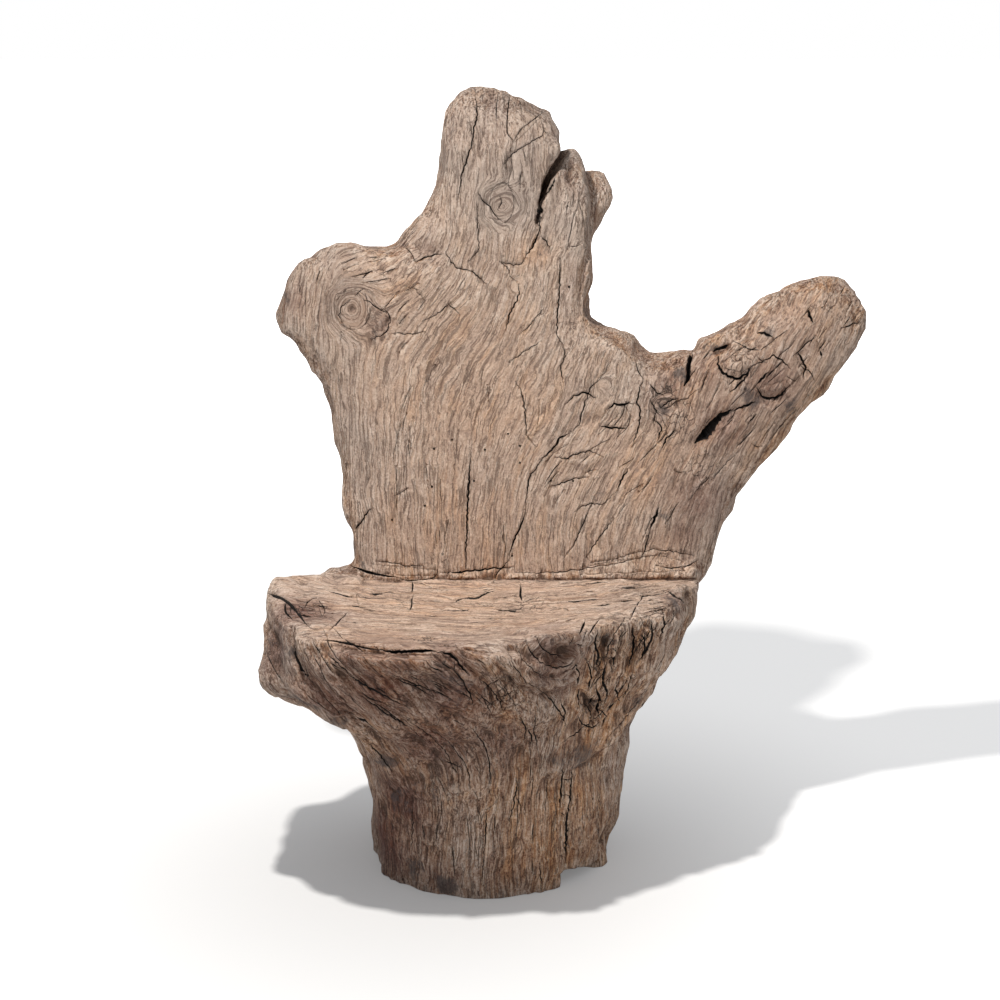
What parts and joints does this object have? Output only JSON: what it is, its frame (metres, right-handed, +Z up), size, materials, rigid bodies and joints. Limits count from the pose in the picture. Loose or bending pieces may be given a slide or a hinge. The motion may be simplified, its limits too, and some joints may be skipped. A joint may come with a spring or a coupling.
{
  "type": "root chair",
  "caption": "Chair cut from one weathered root stump: level foot, flared seat, leaning sawn backrest, upper limbs and a long root reaching out as an arm.",
  "frame": {"origin": "centre of the foot's sawn face, on the floor", "axes": "+Z up; the sitter faces -Y; the arm root reaches out along +X"},
  "size_m": [0.858, 0.5255, 1.0882],
  "materials": {
    "root_wood": "bare weathered root wood, dry and cracked",
    "knot_wood": "bare dense knot wood, darker, with ring cracks",
    "sliver_wood": "bare split wood, dry"
  },
  "bodies": {
    "root": {"root_log": "root_wood", "left_shoulder_knot": "knot_wood", "upper_limb_knot": "knot_wood", "arm_knot": "knot_wood", "arm_burr": "knot_wood", "crown_wedge": "sliver_wood", "back_chip": "sliver_wood", "left_crotch_sliver": "sliver_wood", "right_crotch_sliver": "sliver_wood", "front_lip_flake": "sliver_wood", "base_splinter": "sliver_wood"}
  },
  "joints": []
}
